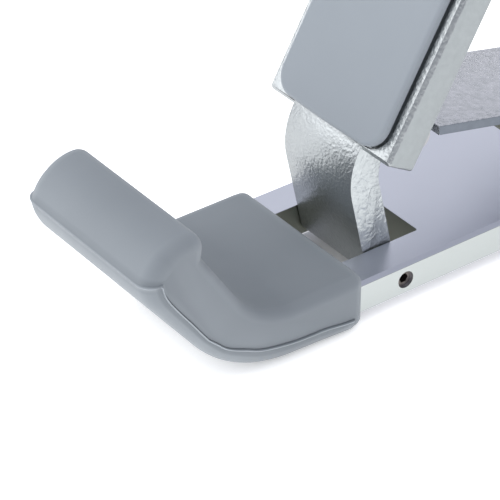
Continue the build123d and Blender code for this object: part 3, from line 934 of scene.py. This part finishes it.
# ---- support pad --------------------------------------------------------------------------------
@dataclass
class SupportPad:
    """Silicone pad in the plate's pocket, with a soft rim and a faintly bowed lower end."""

    leg: Leg
    width: float = 34.0
    length: float = 162.0
    thickness: float = 3.0
    corner: float = 5.0
    rim: float = 1.0
    bow: float = 0.4
    stem: float = 1.2
    overhang: float = 1.3
    stem_draft: float = 0.05
    slices: int = 5

    def build(self) -> None:
        """Make the pad and lay it on the plate."""
        name = self.leg.node("silicone_support_pad")
        piece = finish_mesh(self.moulding(), name, self.place(), sharp=50.0)
        show(piece, PAD_SILICONE, "backrest", self.leg.node("support_pad"))

    def moulding(self) -> bmesh.types.BMesh:
        """Shape the pad lying flat, face up, with its length along Y.

        Returns:
            The closed pad, in millimetres.
        """
        mesh = bmesh.new()
        bmesh.ops.create_cube(mesh, size=1.0)
        bmesh.ops.scale(mesh, verts=mesh.verts,
                        vec=(self.width, self.length, self.thickness - self.stem))
        bmesh.ops.translate(mesh, verts=mesh.verts, vec=(0, 0, self.stem / 2))
        bmesh.ops.bevel(mesh, geom=[e for e in mesh.edges if self.is_corner(e)],
                        offset=self.corner, segments=10, profile=0.5, affect="EDGES", material=-1)
        top = self.thickness / 2 - LEVEL
        front = [e for e in mesh.edges if all(v.co.z > top for v in e.verts)]
        bmesh.ops.bevel(mesh, geom=front, offset=self.rim, segments=6, profile=0.5,
                        affect="EDGES", material=-1)
        back = [f for f in mesh.faces if f.normal.z < -FACING]
        bmesh.ops.inset_region(mesh, faces=back, thickness=self.overhang, use_even_offset=True)
        bmesh.ops.inset_region(mesh, faces=back, thickness=self.stem_draft, depth=self.stem,
                               use_even_offset=True)
        self.bow_end(mesh)
        return mesh

    def bow_end(self, mesh: bmesh.types.BMesh) -> None:
        """Slice the pad lengthwise and bow its lower end out, most in the middle.

        Args:
            mesh: The pad, which is changed.
        """
        span = self.width / 2 - self.corner
        for i in range(-self.slices, self.slices + 1):
            bmesh.ops.bisect_plane(mesh, geom=mesh.verts[:] + mesh.edges[:] + mesh.faces[:],
                                   plane_co=(span * i / (self.slices + 1), 0, 0),
                                   plane_no=(1, 0, 0))
        edge = self.corner - self.length / 2
        for vert in mesh.verts:
            share = 1 - (2 * vert.co.x / self.width) ** 2
            vert.co.y -= self.bow * share * max(0.0, (edge - vert.co.y) / self.corner)

    def place(self) -> Matrix:
        """Find where the pad goes.

        Returns:
            The place on the plate's face, centred along the slope on the CAD pad.
        """
        mount = next(m for m in frame["record"]["mounts"]
                     if m["name"] == self.leg.node("pad_face"))
        lean = Matrix.Rotation(math.acos(mount["axis"][2]), 4, "X")
        low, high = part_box(self.leg.node("support_pad"))
        up = lean.to_3x3() @ Vector((0, 1, 0))
        face = Vector(mount["pos_m"])
        face += up * ((low + high) / 2 - face).dot(up)
        return Matrix.Translation(face) @ lean @ Matrix.Translation(
            (0, 0, -self.thickness / 2 * MM))

    def is_corner(self, edge: bmesh.types.BMEdge) -> bool:
        """Whether an edge is one of the pad's four upright corners."""
        a, b = (vert.co for vert in edge.verts)
        return abs(a.x - b.x) < LEVEL and abs(a.y - b.y) < LEVEL


# ---- pieces that keep their CAD shape -----------------------------------------------------------
@dataclass
class EasedPart:
    """A metal part with the shape of its CAD node and its sharp edges eased, as tumbling does.

    Lengths are in millimetres. Edges that turn by more than crease degrees are eased, and
    triangles within flat degrees of each other are first joined into one face. A side face
    counts as outermost within side_depth of the node's box.
    """

    node: str
    name: str
    body: str
    finish: Finish
    sides: tuple[Finish, Finish]
    ease: float = 0.25
    crease: float = 25.0
    flat: float = 0.5
    side_depth: float = 0.5

    def build(self) -> None:
        """Merge a copy of the node's triangles, ease its edges and show it instead."""
        mesh = bmesh.new()
        mesh.from_mesh(frame["nodes"][self.node].data)
        bmesh.ops.scale(mesh, vec=(1 / MM,) * 3, verts=mesh.verts)
        bmesh.ops.remove_doubles(mesh, verts=mesh.verts, dist=0.001)
        bmesh.ops.dissolve_limit(mesh, angle_limit=math.radians(self.flat), delimit=set(),
                                 use_dissolve_boundaries=False, verts=mesh.verts,
                                 edges=mesh.edges)
        sharp = [e for e in mesh.edges if len(e.link_faces) == 2
                 and e.calc_face_angle(0) > math.radians(self.crease)]
        bmesh.ops.bevel(mesh, geom=sharp, offset=self.ease, segments=2, profile=0.5,
                        affect="EDGES", material=-1, clamp_overlap=True)
        piece = finish_mesh(mesh, self.name, Matrix.Identity(4), sharp=35.0)
        show(piece, self.finish, self.body, self.node)
        self.dress_sides(piece)

    def dress_sides(self, piece: bpy.types.Object) -> None:
        """Give the outermost side faces the first of the side finishes and the rest the second.

        Args:
            piece: The finished piece.
        """
        for finish in self.sides:
            piece.data.materials.append(finish.material())
        low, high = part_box(self.node)
        middle, half = (low.x + high.x) / 2, (high.x - low.x) / 2
        for face in piece.data.polygons:
            if abs(face.normal.x) > FACING:
                outermost = abs(face.center.x - middle) > half - self.side_depth * MM
                face.material_index = 1 if outermost else 2


def dress(node: str, finish: Finish) -> None:
    """Give a CAD node that keeps its shape its finish.

    Args:
        node: The node.
        finish: Its finish.
    """
    piece = frame["nodes"][node]
    piece.data.materials.clear()
    piece.data.materials.append(finish.material())
    LOG.info("%s keeps its shape, in %s", node, finish.name)


@dataclass
class Hardware:
    """Pins, bushes, screws, shims and feet, which keep their CAD shape."""

    finishes: dict[str, Finish] = field(default_factory=lambda: {
        "pivot_pin": GROUND_PIN,
        "pivot_shims": GROUND_PIN,
        "pivot_bushes": BRONZE,
        "prop_hinge_pin": GROUND_PIN,
        "prop_pin_clips": GROUND_PIN,
        "foot_pin": GROUND_PIN,
        "guide_shoes": ACETAL,
        "rear_foot": SILICONE,
    })
    shared: tuple[str, ...] = ("pivot_grub_screws", "rear_bar_screws", "top_bar_screws")

    def build(self) -> None:
        """Dress every one of them."""
        for leg in Leg:
            for part, finish in self.finishes.items():
                dress(leg.node(part), finish)
        for node in self.shared:
            dress(node, DARK_SCREW)


# ---- the whole stand ----------------------------------------------------------------------------
@dataclass
class Stand:
    """The stand's sub-assemblies, in the order they are put together."""

    slot_half_width: float = 11.6

    def build(self) -> None:
        """Build both legs, then what joins them."""
        for leg in Leg:
            self.build_rail(leg)
            HookSleeve(leg).build()
            SupportPad(leg).build()
            # The support arm's inner sides, those of the neck, take the lighter copy: painted
            # light.
            EasedPart(leg.node("support_arm"), leg.node("cast_support_arm"), "backrest",
                      CAST_PLATE, (CAST_SIDE, CAST_NECK), ease=0.3).build()
            # The prop's sides take the darker copy: painted shade.
            EasedPart(leg.node("prop_arm"), leg.node("sheet_prop_arm"),
                      f"{leg.value}_prop", CAST_PROP, (PROP_SIDE_SHADE, PROP_SIDE_SHADE),
                      ease=0.2).build()
        for node in ("rear_cross_bar", "top_cross_bar"):
            dress(node, ANODISED)
        Hardware().build()

    def build_rail(self, leg: Leg) -> None:
        """Dress a rail, whose milled slot walls get painted shade below its blasted top.

        Args:
            leg: The rail's leg.
        """
        node = leg.node("base_rail")
        under, over = (corner.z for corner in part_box("rear_cross_bar"))
        low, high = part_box(node)
        finish = AnodisedBar("anodised_rail", ANODISED.slot, ANODISED.colour, ANODISED.roughness,
                             1.0, legs=abs(leg.middle()), slot_half=self.slot_half_width * MM,
                             half_width=(high.x - low.x) / 2 - SKIN / 2, ends=(low.y, high.y),
                             slot_heights=(under + SKIN, over - 1.5 * SKIN))
        dress(node, finish)


# ---- studio -------------------------------------------------------------------------------------
@dataclass(frozen=True)
class LitAcrylic(Finish):
    """Matt white acrylic lit from below, which keeps the floor white but for a soft shade.

    The eye gets even white. The glow fades within shade_reach millimetres of whatever stands on
    it, a painted contact shadow. From the boots' back ends to the rails' back ends, and slot_shade
    millimetres to either side of a leg, where the bars stand over it, it loses a share of its glow,
    a painted shade. legs and slots are in metres.
    """

    legs: float = 0.0
    slots: tuple[float, float] = (0.0, 0.0)
    slot_shade: float = 14.0
    shade_reach: float = 8.0
    falloff: float = 0.45
    glow: float = 0.88
    painted_shade_share: float = 0.85

    def pattern(self, tree: bpy.types.NodeTree, shader: bpy.types.Node,
                place: bpy.types.NodeSocket) -> None:
        """Even white, with the glow and its painted shade.

        Args:
            tree: The material's tree.
            shader: Its main shader.
            place: The coordinates.
        """
        super().pattern(tree, shader, place)
        # Painted contact shadow: the glow fades where ambient occlusion finds something near.
        open_sky = add_node(tree, "AmbientOcclusion", {"Distance": self.shade_reach * MM})
        fade = add_node(tree, "Math", {"operation": "POWER", 1: self.falloff},
                        {0: open_sky.outputs["AO"]})
        # Painted shade: the glow drops where the bars stand over the floor.
        front, back = self.slots
        under = box_mask(tree, place, (self.legs, self.slot_shade * MM),
                         ((front + back) / 2, (back - front) / 2))
        clear = add_node(tree, "Math", {
            "operation": "MULTIPLY_ADD", 1: -self.painted_shade_share * self.glow, 2: self.glow,
        }, {0: under})
        glow = add_node(tree, "Math", {"operation": "MULTIPLY"},
                        {0: fade.outputs[0], 1: clear.outputs[0]})
        shader.inputs["Emission Color"].default_value = linear("#ffffff")
        tree.links.new(glow.outputs[0], shader.inputs["Emission Strength"])


@dataclass(frozen=True)
class SoftBox:
    """A square soft box: where it stands, as for a camera, its side in metres and its watts.

    Azimuth and elevation are in degrees, and its distance from the aim is in metres.
    """

    name: str
    azimuth: float
    elevation: float
    distance: float
    size: float
    power: float


@dataclass
class Studio:
    """Pale floor, soft boxes and the camera.

    Angles are in degrees, and from_pivot is the aim's offset in millimetres from the middle of
    the right pivot pin.
    """

    azimuth: float = 53.14
    elevation: float = 34.23
    distance: float = 0.598
    lens: float = 200.87
    floor_size: float = 9.0
    from_pivot: tuple[float, float, float] = (-11.15, -17.47, -2.31)
    boxes: tuple[SoftBox, ...] = (
        SoftBox("key", 322, 30, 1.2, 1.1, 8.5),
        SoftBox("top", 95, 76, 1.3, 1.0, 4.6),
        SoftBox("back", 233, 36, 1.2, 1.4, 2.4),
    )

    def build(self) -> None:
        """Lay the floor, hang the lights and place the camera."""
        self.floor()
        self.sky()
        aim = self.aim()
        for box in self.boxes:
            self.soft_box(box, aim)
        self.camera(aim)

    def aim(self) -> Vector:
        """The point that the camera looks at, level with the right rail, in front of its pivot."""
        low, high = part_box(Leg.RIGHT.node("pivot_pin"))
        return Vector(self.from_pivot) * MM + (low + high) / 2

    def floor(self) -> None:
        """A pale floor that glows faintly, as a light table does."""
        mesh = bmesh.new()
        bmesh.ops.create_grid(mesh, x_segments=1, y_segments=1, size=self.floor_size / 2 / MM)
        piece = finish_mesh(mesh, "floor", Matrix.Translation((0, 0, CAD_BOX[0].z)))
        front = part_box(Leg.RIGHT.node("hook_sleeve"))[1].y
        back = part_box(Leg.RIGHT.node("base_rail"))[1].y
        acrylic = LitAcrylic("lit_white_acrylic", "", "#dedede", 0.9,
                             legs=Leg.RIGHT.middle(), slots=(front, back))
        piece.data.materials.append(acrylic.material())

    def sky(self) -> None:
        """Even, slightly cool light from all round."""
        world = bpy.data.worlds.new("studio")
        bpy.context.scene.world = world
        world.use_nodes = True
        tree = world.node_tree
        tree.nodes.clear()
        glow = add_node(tree, "Background", {"Color": linear("#dfe2ee"), "Strength": 0.62})
        add_node(tree, "OutputWorld", links={"Surface": glow.outputs[0]})

    def towards(self, azimuth: float, elevation: float) -> Vector:
        """The direction from the stand to where a camera of that azimuth and elevation stands."""
        a, e = math.radians(azimuth), math.radians(elevation)
        return Vector((math.sin(a) * math.cos(e), -math.cos(a) * math.cos(e), math.sin(e)))

    def soft_box(self, box: SoftBox, aim: Vector) -> None:
        """Hang a square soft box that faces the stand.

        Args:
            box: The soft box.
            aim: The point it faces.
        """
        light = bpy.data.lights.new(box.name, "AREA")
        light.shape, light.size, light.energy = "SQUARE", box.size, box.power
        lamp = bpy.data.objects.new(box.name, light)
        away = self.towards(box.azimuth, box.elevation)
        lamp.location = aim + away * box.distance
        lamp.rotation_euler = away.to_track_quat("Z", "Y").to_euler()
        bpy.context.scene.collection.objects.link(lamp)

    def camera(self, aim: Vector) -> None:
        """Place the camera at its azimuth and elevation.

        Args:
            aim: The point it looks at.
        """
        lens = bpy.data.cameras.new("camera")
        lens.lens, lens.clip_start, lens.clip_end = self.lens, 0.01, 20.0
        camera = bpy.data.objects.new("camera", lens)
        away = self.towards(self.azimuth, self.elevation)
        camera.location = aim + away * self.distance
        camera.rotation_euler = away.to_track_quat("Z", "Y").to_euler()
        bpy.context.scene.collection.objects.link(camera)
        bpy.context.scene.camera = camera


def main() -> None:
    """Build the stand, then the studio around it."""
    logging.basicConfig(level=logging.INFO, format="%(message)s")
    Stand().build()
    Studio().build()
    scene = bpy.context.scene
    scene.view_settings.view_transform = "Standard"


if __name__ == "__main__":
    main()
